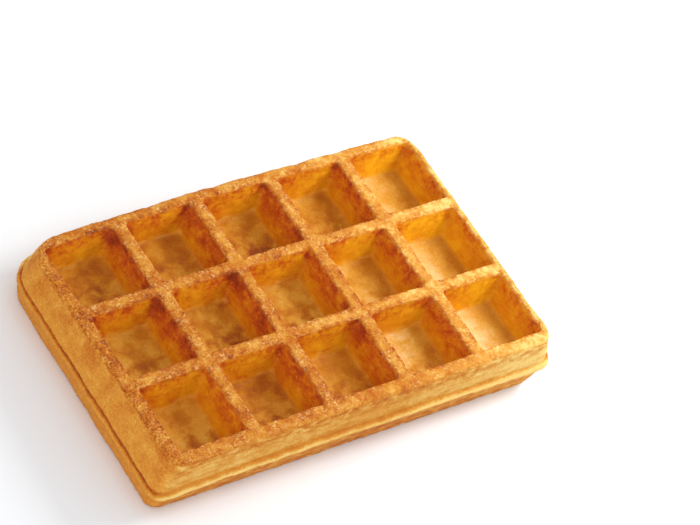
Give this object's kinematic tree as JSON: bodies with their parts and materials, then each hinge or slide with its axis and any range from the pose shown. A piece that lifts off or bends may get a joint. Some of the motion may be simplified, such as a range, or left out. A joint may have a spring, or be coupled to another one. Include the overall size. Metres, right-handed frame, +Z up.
{
  "type": "belgian waffle",
  "caption": "Thick rectangular Belgian waffle with rows of deep square pockets in both faces and a seam around its side, lying flat.",
  "frame": {"origin": "centre of the footprint on the resting plane", "axes": "+Z up out of the shown face, X along the long side"},
  "size_m": [0.1768, 0.1094, 0.026],
  "materials": {
    "crust": "baked waffle crust: golden, browned in the pockets, dry and slightly rough"
  },
  "bodies": {
    "root": {"waffle": "crust"}
  },
  "joints": []
}
